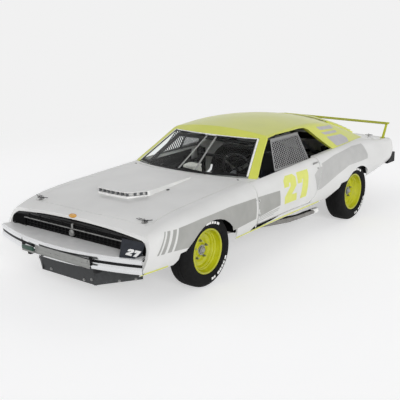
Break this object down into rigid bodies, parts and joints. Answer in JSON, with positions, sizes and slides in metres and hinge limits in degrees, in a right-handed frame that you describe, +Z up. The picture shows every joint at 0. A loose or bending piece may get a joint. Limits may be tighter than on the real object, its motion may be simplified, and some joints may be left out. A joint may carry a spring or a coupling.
{
  "type": "stock car",
  "caption": "Two-door hardtop stock car with hinged doors, hood and deck lid, steered front wheels, roll cage, rear wing and louvred rear window.",
  "frame": {"origin": "on the ground under the middle of the car, at the bottom centre of its box", "axes": "+X to the car's left, +Y to its rear, +Z up; the nose points to -Y"},
  "size_m": [1.9516, 5.2, 1.2664],
  "materials": {
    "bare_steel": "satin",
    "black_plastic": "satin black",
    "chrome": "polished",
    "dark_steel": "satin black",
    "glass": "clear",
    "grey_steel": "satin grey",
    "iron": "rough",
    "lime_paint": "gloss lime yellow-green",
    "net_fabric": "woven",
    "seat_black": "matt",
    "tyre": "matt",
    "wheel_paint": "gloss lime yellow-green",
    "white_paint": "gloss white"
  },
  "bodies": {
    "body": {"nose_panel": "white_paint", "front_fender_left": "white_paint", "front_fender_right": "white_paint", "cowl": "white_paint", "quarter_panel_left": "white_paint", "quarter_panel_right": "white_paint", "rocker_panels": "white_paint", "tail_panel": "white_paint", "roof": "lime_paint", "windshield": "glass", "rear_window": "glass", "rear_louvers": "lime_paint", "deck_hinge_panel": "dark_steel", "floor_pan": "dark_steel", "firewall": "dark_steel", "door_pillars": "dark_steel", "wheel_housings": "dark_steel", "front_frame": "dark_steel", "rear_frame": "dark_steel", "control_arms": "grey_steel", "rear_axle": "dark_steel", "leaf_springs": "dark_steel", "engine_block": "iron", "transmission": "iron", "drive_shaft": "bare_steel", "fuel_cell": "dark_steel", "radiator": "dark_steel", "exhaust_pipes": "bare_steel", "front_bumper": "chrome", "rear_bumper": "chrome", "grille": "black_plastic", "lamp_covers": "black_plastic", "air_dam": "dark_steel", "dashboard": "dark_steel", "steering_column": "grey_steel", "driver_seat": "seat_black", "roll_cage": "grey_steel", "window_nets": "net_fabric"},
    "left_knuckle": {"knuckle_left": "grey_steel"},
    "right_knuckle": {"knuckle_right": "grey_steel"},
    "front_left_wheel": {"wheel_front_left": "wheel_paint", "tyre_front_left": "tyre"},
    "front_right_wheel": {"wheel_front_right": "wheel_paint", "tyre_front_right": "tyre"},
    "rear_left_wheel": {"wheel_rear_left": "wheel_paint", "tyre_rear_left": "tyre"},
    "rear_right_wheel": {"wheel_rear_right": "wheel_paint", "tyre_rear_right": "tyre"},
    "left_door": {"door_left": "white_paint"},
    "right_door": {"door_right": "white_paint"},
    "hood_lid": {"hood": "white_paint"},
    "deck_lid": {"decklid": "white_paint", "rear_wing": "lime_paint"},
    "steering_wheel_body": {"steering_wheel": "dark_steel"}
  },
  "joints": [
    {"name": "left_steering", "type": "hinge", "parent": "body", "child": "left_knuckle", "pos_m": [0.69, -1.545, 0.341], "axis": [0, 0, 1], "range_deg": [-20, 20]},
    {"name": "right_steering", "type": "hinge", "parent": "body", "child": "right_knuckle", "pos_m": [-0.69, -1.545, 0.341], "axis": [0, 0, 1], "range_deg": [-20, 20]},
    {"name": "steering_wheel_turn", "type": "hinge", "parent": "body", "child": "steering_wheel_body", "pos_m": [0.39, -0.35, 0.82], "axis": [0, 0.9613, 0.2756], "range_deg": [-285, 285]},
    {"name": "front_left_wheel_spin", "type": "hinge", "parent": "left_knuckle", "child": "front_left_wheel", "pos_m": [0.774, -1.545, 0.341], "axis": [1, 0, 0], "continuous": true},
    {"name": "front_right_wheel_spin", "type": "hinge", "parent": "right_knuckle", "child": "front_right_wheel", "pos_m": [-0.774, -1.545, 0.341], "axis": [1, 0, 0], "continuous": true},
    {"name": "rear_left_wheel_spin", "type": "hinge", "parent": "body", "child": "rear_left_wheel", "pos_m": [0.8, 1.245, 0.341], "axis": [1, 0, 0], "continuous": true},
    {"name": "rear_right_wheel_spin", "type": "hinge", "parent": "body", "child": "rear_right_wheel", "pos_m": [-0.8, 1.245, 0.341], "axis": [1, 0, 0], "continuous": true},
    {"name": "left_door_hinge", "type": "hinge", "parent": "body", "child": "left_door", "pos_m": [0.914, -0.738, 0.572], "axis": [0, 0, -1], "range_deg": [0, 65]},
    {"name": "right_door_hinge", "type": "hinge", "parent": "body", "child": "right_door", "pos_m": [-0.914, -0.738, 0.572], "axis": [0, 0, 1], "range_deg": [0, 65]},
    {"name": "hood_hinge", "type": "hinge", "parent": "body", "child": "hood_lid", "pos_m": [0, -0.765, 0.82233], "axis": [-1, 0, 0], "range_deg": [0, 55]},
    {"name": "decklid_hinge", "type": "hinge", "parent": "body", "child": "deck_lid", "pos_m": [0, 2.036, 0.85344], "axis": [1, 0, 0], "range_deg": [0, 65]}
  ],
  "couplings": [
    {"joint": "right_steering", "follows": "left_steering", "ratio": 1},
    {"joint": "steering_wheel_turn", "follows": "left_steering", "ratio": 14}
  ]
}
